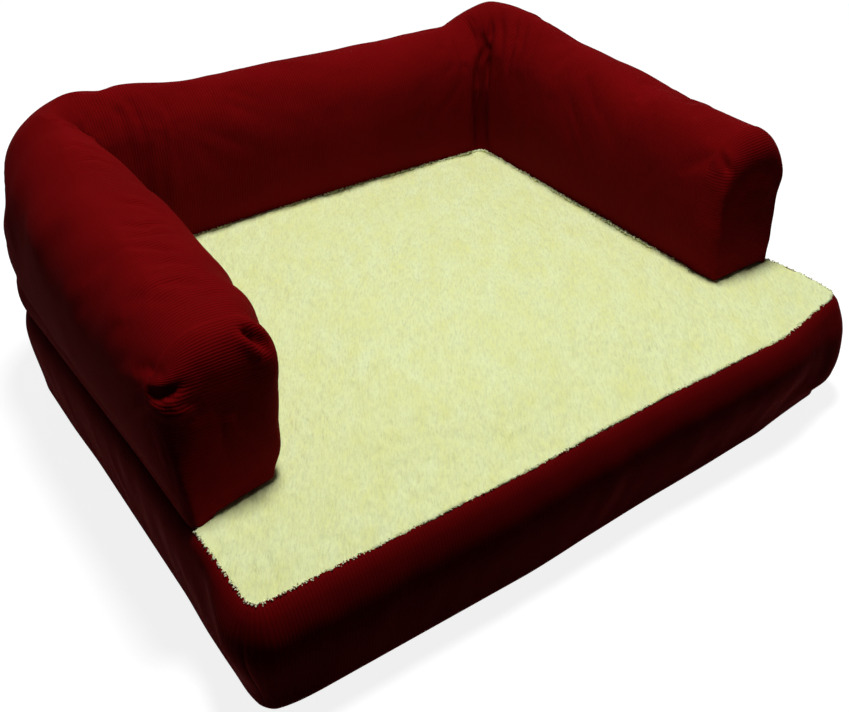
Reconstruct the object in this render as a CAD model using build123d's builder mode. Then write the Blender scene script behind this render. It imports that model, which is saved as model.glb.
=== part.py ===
from build123d import *
import os

os.makedirs("parts", exist_ok=True)

# Mattress: overall size at the top seam, the seams and the cloth
base_width = 760.0
base_depth = 660.0
seam_height = 128.0
cloth_thickness = 2.0
front_corner_radius = 36.0
bottom_tuck = 2.0
side_bulge = 3.0
bottom_bow = 3.0
middle_bow = 4.0
top_bow = 1.5

# Fleece top and what fills the mattress
fleece_thickness = 9.0
fleece_edge_round = 5.0
crown_lift = 10.0
crown_margin = 6.0
topper_thickness = 26.0
foam_side_gap = 8.0
soft_gap = 0.3
crown_station_shares = (0.0, 0.25, 0.6, 1.0)
crown_lift_shares = (0.2, 0.8, 1.0, 0.5)

# Bolster: a stuffed tube on three sides, drawn in at its corners
contact_width = 93.0
well_corner_radius = 17.0
arm_setback = 129.0
front_top = 168.0
middle_top = 174.0
corner_top = 184.0
back_top = 171.0
front_overhang = 15.0
middle_overhang = 27.0
corner_overhang = 11.0
outer_bulge = 4.0
crown_drop = 9.0
belly_lean = 8.0
shoulder_radius = 44.0
end_depth = 24.0
end_round = 20.0
mitre_angle = 45.0
arm_station_shares = (0.0, 0.33, 0.7, 1.0)
back_station_shares = (0.0, 0.25, 0.5, 0.75, 1.0)

# Zip in the middle of the back band
zip_rise = 5.0
zip_panel_margin = 10.0
zip_slot = 15.0
zip_stop_margin = 14.0
tape_width = 15.0
tape_thickness = 0.8
tape_tuck = 10.0
tape_gap = 0.6
row_gap = 1.6
row_height = 2.4
row_thickness = 1.8
stop_length = 3.0
stop_wrap = 0.5
slider_length = 11.0
slider_width = 9.6
slider_plate = 1.0
slider_gap = 0.3
slider_round = 0.5
bridge_thickness = 1.0
bridge_length = 3.6
lug_length = 7.0
lug_width = 1.8
lug_rise = 4.0
lug_wall = 1.1
lug_round = 1.0
pin_radius = 0.6
pin_lift = 2.0
eye_reach = 6.0
pull_arm = 1.4
pull_length = 27.0
pull_thickness = 1.2
pull_hole_radius = 1.5
pull_round = 1.6

# One overrun for every cutting tool
overrun = 20.0

# Sizes that follow from those above
half_width = base_width / 2
half_depth = base_depth / 2
bulge_height = (cloth_thickness + seam_height) / 2
zip_height = bulge_height + zip_rise
topper_floor = seam_height - topper_thickness
foam_thickness = topper_floor - cloth_thickness
back_corner_radius = contact_width + well_corner_radius
front_belly = contact_width + front_overhang
middle_belly = contact_width + middle_overhang
corner_belly = contact_width + corner_overhang
fleece_top = seam_height + fleece_thickness
tube_floor = fleece_top + cloth_thickness
arm_front = -half_depth + arm_setback
arm_start = arm_front + end_depth
corner_y = half_depth - back_corner_radius
corner_x = half_width - back_corner_radius
well_half = half_width - contact_width
well_back = half_depth - contact_width
panel_half = corner_x - zip_panel_margin


def finish(piece, name):
    """Labels a finished piece and writes its file."""
    piece.part.label = name
    export_step(piece.part, f"parts/{name}.step")


# Mattress plan at one height: bowed front and sides, a straight back
def mattress_plan(height, inset, bow, wall=0.0):
    x = half_width - inset - wall
    y = half_depth - inset - wall
    with BuildSketch(Plane.XY.offset(height)) as plan:
        with BuildLine():
            ThreePointArc((-x, -y), (0, -y - bow), (x, -y))
            ThreePointArc((x, -y), (x + bow, 0), (x, y))
            Line((x, y), (-x, y))
            ThreePointArc((-x, y), (-x - bow, 0), (-x, -y))
        make_face()
        corners = plan.vertices().group_by(Axis.Y)
        fillet(corners[0], front_corner_radius - wall)
        corners = plan.vertices().sort_by(Axis.Y)[-2:]
        fillet(corners, back_corner_radius - wall)
    return plan.sketch


# Mattress sides, from the bottom seam over the bulge to the top seam
def mattress_form(wall):
    with BuildPart() as form:
        loft(sections=[
            mattress_plan(cloth_thickness, bottom_tuck, bottom_bow, wall),
            mattress_plan(bulge_height, -side_bulge, middle_bow, wall),
            mattress_plan(seam_height, 0, top_bow, wall),
        ])
    return form.part


# Low crown over the open part of the mattress, a loft through shallow arcs
def crown_form(height, shrink=0.0):
    front = -half_depth + crown_margin
    length = well_back - crown_margin - front
    half = well_half - crown_margin - shrink
    sections = []
    for station, lift in zip(crown_station_shares, crown_lift_shares):
        place = Plane.XZ.offset(-(front + shrink + station * (length - 2 * shrink)))
        with BuildSketch(place) as section:
            with BuildLine():
                Line((-half, height), (half, height))
                ThreePointArc((half, height), (0, height + lift * crown_lift - shrink), (-half, height))
            make_face()
        sections.append(section.sketch)
    with BuildPart() as form:
        loft(sections=sections)
    return form.part


# Tube section: u runs inward from the outer face, w up from the tube's floor
def tube_section(plane, top, belly, inset):
    shoulder_w = top - crown_drop - inset
    with BuildSketch(plane) as section:
        with BuildLine():
            Line((contact_width - inset, 0), (inset, 0))
            ThreePointArc((inset, 0), (inset - outer_bulge, shoulder_w / 2), (inset, shoulder_w))
            ThreePointArc(
                (inset, shoulder_w),
                (belly / 2, top - inset),
                (belly - belly_lean - inset, shoulder_w),
            )
            ThreePointArc(
                (belly - belly_lean - inset, shoulder_w),
                (belly - inset, shoulder_w / 2),
                (contact_width - inset, 0),
            )
        make_face()
        fillet(section.vertices().sort_by(Axis.Y)[-2:], shoulder_radius - inset)
    return section.sketch


def arm_plane(side, y):
    return Plane(origin=(side * half_width, y, tube_floor), x_dir=(-side, 0, 0), z_dir=(0, side, 0))


def back_plane(x):
    return Plane(origin=(x, half_depth, tube_floor), x_dir=(0, -1, 0), z_dir=(-1, 0, 0))


def corner_turn(side, turn):
    """Axis of a back corner; turn is the sense in which the tube goes round it."""
    return Axis((side * corner_x, corner_y, 0), (0, 0, turn))


# Arm from its front end to the mitre through the back corner
def arm_form(side, inset):
    tops = (front_top, middle_top, middle_top, corner_top)
    bellies = (front_belly, middle_belly, middle_belly, corner_belly)
    sections = []
    for share, top, belly in zip(arm_station_shares, tops, bellies):
        y = arm_start + share * (corner_y - arm_start)
        sections.append(tube_section(arm_plane(side, y), top, belly, inset))
    with BuildPart() as form:
        loft(sections=sections)
        revolve(sections[-1], axis=corner_turn(side, side), revolution_arc=mitre_angle)
    return form.part


# Back from mitre to mitre
def back_form(inset):
    tops = (corner_top, middle_top, back_top, middle_top, corner_top)
    bellies = (corner_belly, middle_belly, middle_belly, middle_belly, corner_belly)
    sections = []
    for share, top, belly in zip(back_station_shares, tops, bellies):
        x = corner_x * (2 * share - 1)
        sections.append(tube_section(back_plane(x), top, belly, inset))
    with BuildPart() as form:
        loft(sections=sections)
        revolve(sections[0], axis=corner_turn(-1, 1), revolution_arc=mitre_angle)
        revolve(sections[-1], axis=corner_turn(1, -1), revolution_arc=mitre_angle)
    return form.part


# Boxed front end of an arm, rounded over its edges
def end_form(side, inset):
    with BuildPart() as form:
        profile = tube_section(arm_plane(side, arm_start), front_top, front_belly, inset)
        extrude(profile, amount=end_depth - inset, dir=(0, -1, 0))
        front = form.faces().sort_by(Axis.Y)[0]
        fillet(front.edges().sort_by(Axis.Z)[1:], end_round - inset)
    return form.part


# Bottom panel
with BuildPart() as bottom_panel:
    extrude(mattress_plan(0, bottom_tuck, bottom_bow), amount=cloth_thickness)
finish(bottom_panel, "bottom_panel")

# Side bands: one strip of cloth, cut where its seams are
band_outside = mattress_form(0.0)
band_inside = mattress_form(cloth_thickness)

# Front band, mitred through the front corners
with BuildPart() as front_band:
    add(band_outside)
    add(band_inside, mode=Mode.SUBTRACT)
    with BuildSketch():
        with BuildLine():
            Polyline(
                (-half_width - overrun, -half_depth - overrun),
                (half_width + overrun, -half_depth - overrun),
                (well_half, -half_depth + contact_width),
                (-well_half, -half_depth + contact_width),
                close=True,
            )
        make_face()
    extrude(amount=seam_height, mode=Mode.INTERSECT)
finish(front_band, "front_band")

# Left and right bands, each round its back corner to the zip panel
for side, side_name in ((-1, "left"), (1, "right")):
    with BuildPart() as side_band:
        add(band_outside)
        add(band_inside, mode=Mode.SUBTRACT)
        with BuildSketch():
            with BuildLine():
                Polyline(
                    (side * (half_width + overrun), -half_depth - overrun),
                    (side * (half_width + overrun), half_depth + overrun),
                    (side * panel_half, half_depth + overrun),
                    (side * panel_half, corner_y),
                    (side * well_half, -half_depth + contact_width),
                    close=True,
                )
            make_face()
        extrude(amount=seam_height, mode=Mode.INTERSECT)
    finish(side_band, f"{side_name}_band")

# Zip panel: a strip above the slot and a strip below it
strips = (
    ("upper", zip_height + zip_slot / 2, seam_height),
    ("lower", cloth_thickness, zip_height - zip_slot / 2),
)
for strip_name, strip_low, strip_high in strips:
    with BuildPart() as zip_strip:
        add(band_outside)
        add(band_inside, mode=Mode.SUBTRACT)
        with BuildSketch(Plane.XY.offset(strip_low)):
            with Locations((0, half_depth)):
                Rectangle(2 * panel_half, 2 * back_corner_radius)
        extrude(amount=strip_high - strip_low, mode=Mode.INTERSECT)
    finish(zip_strip, f"back_band_{strip_name}")

# Foam core, a flat slab inside the bands
with BuildPart() as foam_core:
    extrude(mattress_plan(cloth_thickness, foam_side_gap, top_bow), amount=foam_thickness)
finish(foam_core, "foam_core")

# Soft topper on the foam, crowned under the open part of the fleece
with BuildPart() as comfort_topper:
    extrude(mattress_plan(topper_floor, foam_side_gap, top_bow), amount=topper_thickness)
    add(crown_form(seam_height, soft_gap))
finish(comfort_topper, "comfort_topper")

# Fleece top panel, from seam to seam under the bolster
with BuildPart() as fleece_top_panel:
    extrude(mattress_plan(seam_height, 0, top_bow), amount=fleece_thickness)
    rim = fleece_top_panel.faces().sort_by(Axis.Z)[-1].edges()
    fillet(rim, fleece_edge_round)
    add(crown_form(fleece_top))
    add(crown_form(seam_height), mode=Mode.SUBTRACT)
finish(fleece_top_panel, "fleece_top_panel")

# Underside of the bolster, a U of cloth sewn down on the fleece
with BuildPart() as bolster_underside:
    with BuildSketch(Plane.XY.offset(fleece_top)) as u_plan:
        add(mattress_plan(fleece_top, 0, top_bow))
        with Locations((0, arm_front)):
            Rectangle(base_width + overrun, base_depth, align=(Align.CENTER, Align.MAX), mode=Mode.SUBTRACT)
        with BuildLine():
            well_line = FilletPolyline(
                (-well_half, arm_front),
                (-well_half, well_back),
                (well_half, well_back),
                (well_half, arm_front),
                radius=well_corner_radius,
            )
            Line(well_line @ 1, well_line @ 0)
        make_face(mode=Mode.SUBTRACT)
    extrude(amount=cloth_thickness)
finish(bolster_underside, "bolster_underside")

# Arms: cover, boxed end and filling on each side
for side, side_name in ((-1, "left"), (1, "right")):
    arm_outside = arm_form(side, 0.0)
    arm_inside = arm_form(side, cloth_thickness)
    with BuildPart() as arm_cover:
        add(arm_outside)
        add(arm_inside, mode=Mode.SUBTRACT)
    finish(arm_cover, f"{side_name}_arm_cover")

    end_outside = end_form(side, 0.0)
    end_inside = end_form(side, cloth_thickness)
    with BuildPart() as arm_end:
        add(end_outside)
        add(end_inside, mode=Mode.SUBTRACT)
    finish(arm_end, f"{side_name}_arm_end")

    fill_body = arm_form(side, cloth_thickness + soft_gap)
    fill_nose = end_form(side, cloth_thickness + soft_gap)
    with BuildPart() as arm_fill:
        add(fill_body)
        add(fill_nose)
    finish(arm_fill, f"{side_name}_arm_fill")

# Back: cover and filling
back_outside = back_form(0.0)
back_inside = back_form(cloth_thickness)
with BuildPart() as back_cover:
    add(back_outside)
    add(back_inside, mode=Mode.SUBTRACT)
finish(back_cover, "back_cover")

back_filling = back_form(cloth_thickness + soft_gap)
with BuildPart() as back_fill:
    add(back_filling)
finish(back_fill, "back_fill")

# Zip places: y of the chain's middle plane, and the levels that follow from it
tape_face = half_depth + side_bulge - cloth_thickness - tape_gap
chain_y = tape_face - tape_thickness / 2
plate_low = row_thickness / 2 + slider_gap
plate_top = plate_low + slider_plate
row_outer = row_gap / 2 + row_height
stop_x = panel_half - zip_stop_margin
slider_x = stop_x - stop_length - slider_gap - slider_length / 2
pin_y = chain_y + plate_top + pin_lift
chain_plane = Plane(origin=(0, chain_y, zip_height), x_dir=(1, 0, 0), z_dir=(0, -1, 0))

# Tapes and rows of teeth, mirrored about the chain's middle
for level, row_name in ((1, "upper"), (-1, "lower")):
    with BuildPart() as zip_tape:
        with BuildSketch(chain_plane.offset(-tape_thickness / 2)):
            with Locations((0, level * (row_outer + tape_width / 2))):
                Rectangle(2 * (panel_half + tape_tuck), tape_width)
        extrude(amount=tape_thickness)
    finish(zip_tape, f"zip_{row_name}_tape")

    with BuildPart() as zip_teeth:
        with BuildSketch(chain_plane.offset(-row_thickness / 2)):
            with Locations((0, level * (row_gap + row_height) / 2)):
                Rectangle(2 * (stop_x + stop_length), row_height)
        extrude(amount=row_thickness)
        chamfer(zip_teeth.edges().filter_by(Axis.X), row_thickness / 4)
    finish(zip_teeth, f"zip_{row_name}_teeth")

# Stops clamped round the ends of the rows: one across both, two apart
with BuildPart() as zip_bottom_stop:
    with BuildSketch(chain_plane.offset(-row_thickness / 2)):
        with Locations((-stop_x + stop_length / 2, 0)):
            Rectangle(stop_length, 2 * row_outer)
    extrude(amount=-stop_wrap)
finish(zip_bottom_stop, "zip_bottom_stop")

with BuildPart() as zip_top_stops:
    with BuildSketch(chain_plane.offset(-row_thickness / 2)):
        for level in (1, -1):
            with Locations((stop_x - stop_length / 2, level * (row_gap + row_height) / 2)):
                Rectangle(stop_length, row_height)
    extrude(amount=-stop_wrap)
finish(zip_top_stops, "zip_top_stops")

# Slider: two plates with lips round the rows, a bridge between them, a lug
slider_plane = Plane(origin=(slider_x, chain_y, zip_height), x_dir=(0, 1, 0), z_dir=(1, 0, 0))
lip_width = slider_width / 2 - row_outer - slider_gap
lip_low = tape_thickness / 2 + slider_gap
with BuildPart() as zip_slider:
    with BuildSketch(slider_plane.offset(-slider_length / 2)):
        for face in (1, -1):
            with Locations((face * (plate_low + slider_plate / 2), 0)):
                Rectangle(slider_plate, slider_width)
            with GridLocations(0, slider_width - lip_width, 1, 2):
                with Locations((face * (plate_top + lip_low) / 2, 0)):
                    Rectangle(plate_top - lip_low, lip_width)
    extrude(amount=slider_length)
    nose = zip_slider.edges().filter_by(Axis.Y).group_by(Axis.X)[-1]
    fillet(nose, slider_round)
    with BuildSketch(slider_plane.offset(slider_length / 2 - bridge_length - slider_round)):
        Rectangle(2 * plate_low, bridge_thickness)
    extrude(amount=bridge_length)
    lug_plane = Plane(origin=(slider_x, chain_y, zip_height), x_dir=(1, 0, 0), z_dir=(0, 0, 1))
    with BuildSketch(lug_plane.offset(-lug_width / 2)):
        with Locations((0, plate_top + lug_rise / 2)):
            Rectangle(lug_length, lug_rise)
        with Locations((0, plate_top + (lug_rise - lug_wall) / 2)):
            Rectangle(lug_length - 2 * lug_wall, lug_rise - lug_wall, mode=Mode.SUBTRACT)
    extrude(amount=lug_width)
    lug_corners = zip_slider.edges().filter_by(Axis.Z).group_by(Axis.Y)[-1]
    fillet(lug_corners, lug_round)
finish(zip_slider, "zip_slider")

# Pull: a pin through the lug, two arms past it and a flat tab
pull_plane = Plane(origin=(slider_x, pin_y, zip_height), x_dir=(-1, 0, 0), z_dir=(0, 1, 0))
arm_place = lug_width / 2 + slider_gap + pull_arm / 2
pull_width = 2 * arm_place + pull_arm
with BuildPart() as zip_pull:
    with BuildSketch(pull_plane.offset(-pull_thickness / 2)):
        with Locations(((eye_reach + pull_length) / 2, 0)):
            RectangleRounded(pull_length - eye_reach, pull_width, pull_round)
        with GridLocations(0, 2 * arm_place, 1, 2):
            with Locations(((eye_reach + pull_round) / 2, 0)):
                Rectangle(eye_reach + pull_round, pull_arm)
        with Locations((pull_length - pull_width / 2, 0)):
            Circle(pull_hole_radius, mode=Mode.SUBTRACT)
    extrude(amount=pull_thickness)
    pin_plane = Plane(origin=(slider_x, pin_y, zip_height), x_dir=(1, 0, 0), z_dir=(0, 0, 1))
    with BuildSketch(pin_plane.offset(-pull_width / 2)):
        Circle(pin_radius)
    extrude(amount=pull_width)
finish(zip_pull, "zip_pull")
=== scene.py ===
"""Looks of a dog sofa bed: a stuffed U of ribbed cloth on a fleece-topped mattress."""

import math

import bpy
import numpy as np
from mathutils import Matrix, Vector, noise


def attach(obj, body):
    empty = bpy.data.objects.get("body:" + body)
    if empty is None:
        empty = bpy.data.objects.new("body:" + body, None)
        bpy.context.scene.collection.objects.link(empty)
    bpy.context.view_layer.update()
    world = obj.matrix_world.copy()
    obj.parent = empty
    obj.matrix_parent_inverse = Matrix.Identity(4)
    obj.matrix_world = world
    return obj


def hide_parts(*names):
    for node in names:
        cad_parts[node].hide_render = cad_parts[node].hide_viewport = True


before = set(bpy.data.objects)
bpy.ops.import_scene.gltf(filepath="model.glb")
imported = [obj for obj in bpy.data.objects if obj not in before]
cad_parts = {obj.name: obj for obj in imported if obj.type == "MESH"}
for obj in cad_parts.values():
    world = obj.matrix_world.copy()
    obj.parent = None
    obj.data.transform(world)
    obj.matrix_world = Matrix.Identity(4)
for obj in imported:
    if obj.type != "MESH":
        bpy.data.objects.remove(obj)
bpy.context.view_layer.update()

# Main sizes, in metres, as in the solids
HALF_WIDTH = 0.380
HALF_DEPTH = 0.330
SEAM = 0.128
FLEECE_TOP = 0.137
CLOTH = 0.002
FRONT_LEFT_RADIUS = 0.016
FRONT_RIGHT_RADIUS = 0.018
CORNER_RADIUS = 0.110
CORNER_X = HALF_WIDTH - CORNER_RADIUS
CORNER_Y = HALF_DEPTH - CORNER_RADIUS
CONTACT = 0.093
ARM_FRONT = -0.201
PANEL_HALF = 0.260
SLOT_LOW, SLOT_HIGH = 0.0625, 0.0775
RIB_PITCH = 0.0032
PILE_TURN = math.radians(34)


# ---------------------------------------------------------------- helpers
def smooth_step(t):
    t = np.clip(t, 0.0, 1.0)
    return t * t * (3 - 2 * t)


def ease(x, xs, ys):
    """Value at x on a smooth curve through the points (xs, ys)."""
    x = np.asarray(x, float)
    i = np.clip(np.searchsorted(xs, x) - 1, 0, len(xs) - 2)
    xs, ys = np.asarray(xs, float), np.asarray(ys, float)
    t = smooth_step((x - xs[i]) / (xs[i + 1] - xs[i]))
    return ys[i] + (ys[i + 1] - ys[i]) * t


def value_noise(points, scale, seed=0.0):
    """Smooth noise about 0 at each point, with features of the given size."""
    offset = Vector((seed * 7.31, seed * 3.17, seed * 5.03))
    return np.array([noise.noise(Vector(p) / scale + offset) for p in points])


def new_mesh(name, verts, faces, smooth=True):
    mesh = bpy.data.meshes.new(name)
    mesh.from_pydata([tuple(v) for v in verts], [], [tuple(f) for f in faces])
    mesh.update()
    if smooth:
        mesh.shade_smooth()
    obj = bpy.data.objects.new(name, mesh)
    bpy.context.scene.collection.objects.link(obj)
    return obj


def set_cloth_map(obj, corner_values):
    """Cloth coordinates in metres: along the ribs, and across them."""
    layer = obj.data.uv_layers.new(name="cloth")
    layer.uv.foreach_set("vector", np.asarray(corner_values, np.float32).ravel())


def grid_quads(rows, cols, wrap=False, start=0):
    faces = []
    last = cols if wrap else cols - 1
    for r in range(rows - 1):
        for c in range(last):
            d = (c + 1) % cols
            faces.append((start + r * cols + c, start + r * cols + d,
                          start + (r + 1) * cols + d, start + (r + 1) * cols + c))
    return faces


def shell(name, outer, inner, cloth_uv):
    """Closed sheet between two grids of points; cloth_uv is a grid of cloth coordinates."""
    rows, cols, _ = outer.shape
    count = rows * cols
    verts = np.concatenate([outer.reshape(-1, 3), inner.reshape(-1, 3)])
    faces = grid_quads(rows, cols)
    faces += [tuple(reversed([i + count for i in f])) for f in faces]
    loop = list(range(cols))
    loop += [r * cols + cols - 1 for r in range(1, rows)]
    loop += [(rows - 1) * cols + c for c in range(cols - 2, -1, -1)]
    loop += [r * cols for r in range(rows - 2, 0, -1)]
    for a, b in zip(loop, loop[1:] + loop[:1]):
        faces.append((b, a, a + count, b + count))
    obj = new_mesh(name, verts, faces)
    uv = np.concatenate([cloth_uv.reshape(-1, 2)] * 2)
    corners = np.array([i for f in faces for i in f])
    set_cloth_map(obj, uv[corners])
    return obj


def closed_tube(name, grid):
    """Mesh of a grid of rings with a face over each end, and its list of faces."""
    rows, cols, _ = grid.shape
    faces = grid_quads(rows, cols, True)
    faces.append(tuple(range(cols))[::-1])
    faces.append(tuple((rows - 1) * cols + c for c in range(cols)))
    return new_mesh(name, grid.reshape(-1, 3), faces), faces


def dress(obj, material, slot, *nodes):
    """A piece's material, the body it moves with and the solids it replaces; the slot argument is
    not used.
    """
    obj.data.materials.append(material)
    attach(obj, "bed")
    if nodes:
        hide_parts(*nodes)


def unit(vectors):
    return vectors / np.linalg.norm(vectors, axis=1, keepdims=True)


def outward_of(points):
    """Outward unit directions in plan of a closed line of points, by its neighbours."""
    ahead = np.roll(points, -1, 0) - np.roll(points, 1, 0)
    return unit(np.stack([ahead[:, 1], -ahead[:, 0]], 1))


def normals_of(grid, wrap_cols=False):
    """Unit normals of a grid of points, by differences along rows and columns."""
    if wrap_cols:
        along = np.roll(grid, -1, 1) - np.roll(grid, 1, 1)
    else:
        along = np.gradient(grid, axis=1)
    across = np.gradient(grid, axis=0)
    n = np.cross(along, across)
    return n / np.maximum(np.linalg.norm(n, axis=2, keepdims=True), 1e-12)


def distance_to_line(points, line):
    """Distance from each point to a polyline, and the share of its length reached there."""
    line = np.asarray(line, float)
    best = np.full(len(points), 1e9)
    share = np.zeros(len(points))
    lengths = np.linalg.norm(np.diff(line, axis=0), axis=1)
    total, run = lengths.sum(), 0.0
    for a, b, length in zip(line, line[1:], lengths):
        d = b - a
        t = np.clip(((points - a) @ d) / (length * length), 0, 1)
        dist = np.linalg.norm(points - (a + t[:, None] * d), axis=1)
        closer = dist < best
        best[closer] = dist[closer]
        share[closer] = ((run + t * length) / total)[closer]
        run += length
    return best, share


# ---------------------------------------------------------------- materials
def node_material(name):
    mat = bpy.data.materials.new(name)
    mat.use_nodes = True
    return mat, mat.node_tree, mat.node_tree.nodes["Principled BSDF"]


def add_node(tree, kind, **values):
    n = tree.nodes.new(kind)
    for key, value in values.items():
        setattr(n, key, value)
    return n


def set_inputs(node, **values):
    """Plain values of a node's inputs, with an underscore for each space in their names."""
    for key, value in values.items():
        node.inputs[key.replace("_", " ")].default_value = value


def feed(tree, value, socket):
    """Links an output to the socket, or sets a number or colour on it."""
    if hasattr(value, "is_linked"):
        tree.links.new(value, socket)
    elif isinstance(value, tuple):
        socket.default_value = (*value, 1.0)
    else:
        socket.default_value = value


def math_node(tree, operation, a, b=None, c=None, clamp=False):
    n = add_node(tree, "ShaderNodeMath", operation=operation, use_clamp=clamp)
    for socket, value in zip(n.inputs, (a, b, c)):
        if value is not None:
            feed(tree, value, socket)
    return n.outputs[0]


def noise_node(tree, vector, scale, detail=2.0, roughness=0.5):
    n = add_node(tree, "ShaderNodeTexNoise")
    set_inputs(n, Scale=scale, Detail=detail, Roughness=roughness)
    tree.links.new(vector, n.inputs["Vector"])
    return n.outputs["Fac"]


def mix_colour(tree, factor, a, b, mode="MIX"):
    n = add_node(tree, "ShaderNodeMix", data_type="RGBA", blend_type=mode)
    for socket, value in ((n.inputs["Factor"], factor), (n.inputs[6], a), (n.inputs[7], b)):
        feed(tree, value, socket)
    return n.outputs[2]


def scaled(tree, vector, factors):
    n = add_node(tree, "ShaderNodeVectorMath", operation="MULTIPLY")
    tree.links.new(vector, n.inputs[0])
    n.inputs[1].default_value = factors
    return n.outputs[0]


def map_range(tree, value, low, high, to_max=1.0):
    n = add_node(tree, "ShaderNodeMapRange")
    set_inputs(n, From_Min=low, From_Max=high, To_Max=to_max)
    tree.links.new(value, n.inputs["Value"])
    return n.outputs[0]


def object_place(tree):
    return add_node(tree, "ShaderNodeTexCoord").outputs["Object"]


def axes_of(tree, vector):
    n = add_node(tree, "ShaderNodeSeparateXYZ")
    tree.links.new(vector, n.inputs[0])
    return n.outputs


def add_bump(tree, shader, height, strength, distance):
    n = add_node(tree, "ShaderNodeBump")
    set_inputs(n, Strength=strength, Distance=distance)
    tree.links.new(height, n.inputs["Height"])
    tree.links.new(n.outputs[0], shader.inputs["Normal"])


def seen_directly(tree):
    """1 for camera, glossy and transmission rays, 0 for the light that falls on things."""
    path = add_node(tree, "ShaderNodeLightPath").outputs
    indirect = math_node(tree, "MAXIMUM", path["Is Glossy Ray"], path["Is Transmission Ray"])
    return math_node(tree, "MAXIMUM", path["Is Camera Ray"], indirect)


def ribbed_cloth(name, ridge, painted_groove_shade, bump):
    """Cord cloth: round ribs at the real pitch, their grooves painted darker as painted shade, a
    fine nap and slow colour variation.
    """
    mat, tree, shader = node_material(name)
    uv = add_node(tree, "ShaderNodeUVMap", uv_map="cloth").outputs[0]
    place = object_place(tree)
    shift = math_node(tree, "MULTIPLY", noise_node(tree, place, 22.0), 0.0022)
    across = math_node(tree, "ADD", axes_of(tree, uv)[1], shift)
    phase = math_node(tree, "MULTIPLY", across, math.pi / RIB_PITCH)
    rib = math_node(tree, "ABSOLUTE", math_node(tree, "SINE", phase))
    rib = math_node(tree, "POWER", rib, 0.8)
    nap = noise_node(tree, scaled(tree, uv, (900.0, 1500.0, 1.0)), 1.0)
    slow = noise_node(tree, place, 9.0, 3.0)
    level = math_node(tree, "MULTIPLY", math_node(tree, "MULTIPLY_ADD", slow, 0.5, 0.75),
                      math_node(tree, "MULTIPLY_ADD", nap, 0.5, 0.75))
    shade = add_node(tree, "ShaderNodeCombineColor")
    for socket in shade.inputs[:3]:
        tree.links.new(level, socket)
    # The grooves between the ribs take the darker colour: painted shade in the grooves.
    tone = mix_colour(tree, rib, painted_groove_shade, ridge)
    tone = mix_colour(tree, 1.0, tone, shade.outputs[0], "MULTIPLY")
    tree.links.new(tone, shader.inputs["Base Color"])
    rough = math_node(tree, "MULTIPLY_ADD", nap, 0.2, 0.78)
    tree.links.new(rough, shader.inputs["Roughness"])
    set_inputs(shader, Specular_IOR_Level=0.02)
    height = math_node(tree, "ADD", rib, math_node(tree, "MULTIPLY", nap, 0.25))
    add_bump(tree, shader, height, 0.9, bump)
    return mat


def fleece_material(name, pale, warm, deep, through=0.0, bump=0.0035):
    """Cream pile: slow mottling, short strokes that lie one way, and a tufted bump."""
    mat, tree, shader = node_material(name)
    place = object_place(tree)
    turned = add_node(tree, "ShaderNodeVectorRotate", rotation_type="Z_AXIS")
    set_inputs(turned, Angle=PILE_TURN)
    tree.links.new(place, turned.inputs["Vector"])
    lie = turned.outputs[0]
    mottle = noise_node(tree, scaled(tree, lie, (1.0, 0.45, 1.0)), 60.0, 3.0, 0.6)
    patch = noise_node(tree, place, 9.0)
    strokes = noise_node(tree, scaled(tree, lie, (1.0, 0.22, 1.0)), 480.0, 3.0, 0.65)
    tuft = noise_node(tree, scaled(tree, lie, (1.0, 0.35, 1.0)), 200.0, 2.0, 0.6)
    tone = mix_colour(tree, map_range(tree, mottle, 0.3, 0.7), warm, pale)
    tone = mix_colour(tree, map_range(tree, strokes, 0.56, 0.3, 0.75), tone, deep)
    tone = mix_colour(tree, map_range(tree, patch, 0.35, 0.65, 0.25), tone, warm)
    tree.links.new(tone, shader.inputs["Base Color"])
    set_inputs(shader, Roughness=0.95, Specular_IOR_Level=0.05, Sheen_Weight=0.15,
               Sheen_Roughness=0.6, Sheen_Tint=(1.0, 0.98, 0.8, 1.0), Subsurface_Weight=through,
               Subsurface_Radius=(1.0, 1.0, 0.8), Subsurface_Scale=0.004)
    height = math_node(tree, "ADD", math_node(tree, "MULTIPLY", strokes, 0.6), tuft)
    add_bump(tree, shader, height, 0.55, bump)
    return mat


def plain_weave(name, light, dark, pitch=0.0008, bump=0.0002):
    """Plain woven cloth or tape, worked out from place, so that it needs no map."""
    mat, tree, shader = node_material(name)
    place = object_place(tree)
    waves = [math_node(tree, "SINE", math_node(tree, "MULTIPLY", axis, math.pi / pitch))
             for axis in axes_of(tree, place)]
    woven = math_node(tree, "ADD", math_node(tree, "MULTIPLY", waves[0], waves[1]), waves[2])
    woven = math_node(tree, "MULTIPLY_ADD", woven, 0.25, 0.5)
    slow = math_node(tree, "ADD", noise_node(tree, place, 18.0, 3.0), 0.5)
    factor = math_node(tree, "MULTIPLY", woven, slow, clamp=True)
    tree.links.new(mix_colour(tree, factor, dark, light), shader.inputs["Base Color"])
    set_inputs(shader, Roughness=0.85, Specular_IOR_Level=0.2)
    add_bump(tree, shader, woven, 0.8, bump)
    return mat


def open_cell(name, light, dark, scale):
    """Foam or fibre filling: cells or strands with a soft uneven surface."""
    mat, tree, shader = node_material(name)
    place = object_place(tree)
    cells = add_node(tree, "ShaderNodeTexVoronoi")
    set_inputs(cells, Scale=scale)
    tree.links.new(place, cells.inputs["Vector"])
    near = cells.outputs["Distance"]
    slow = math_node(tree, "MULTIPLY", noise_node(tree, place, 14.0, 3.0), 0.5)
    factor = math_node(tree, "ADD", math_node(tree, "MULTIPLY", near, 0.6), slow, clamp=True)
    tree.links.new(mix_colour(tree, factor, dark, light), shader.inputs["Base Color"])
    set_inputs(shader, Roughness=0.9)
    add_bump(tree, shader, near, 0.6, 0.0008)
    return mat


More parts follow.
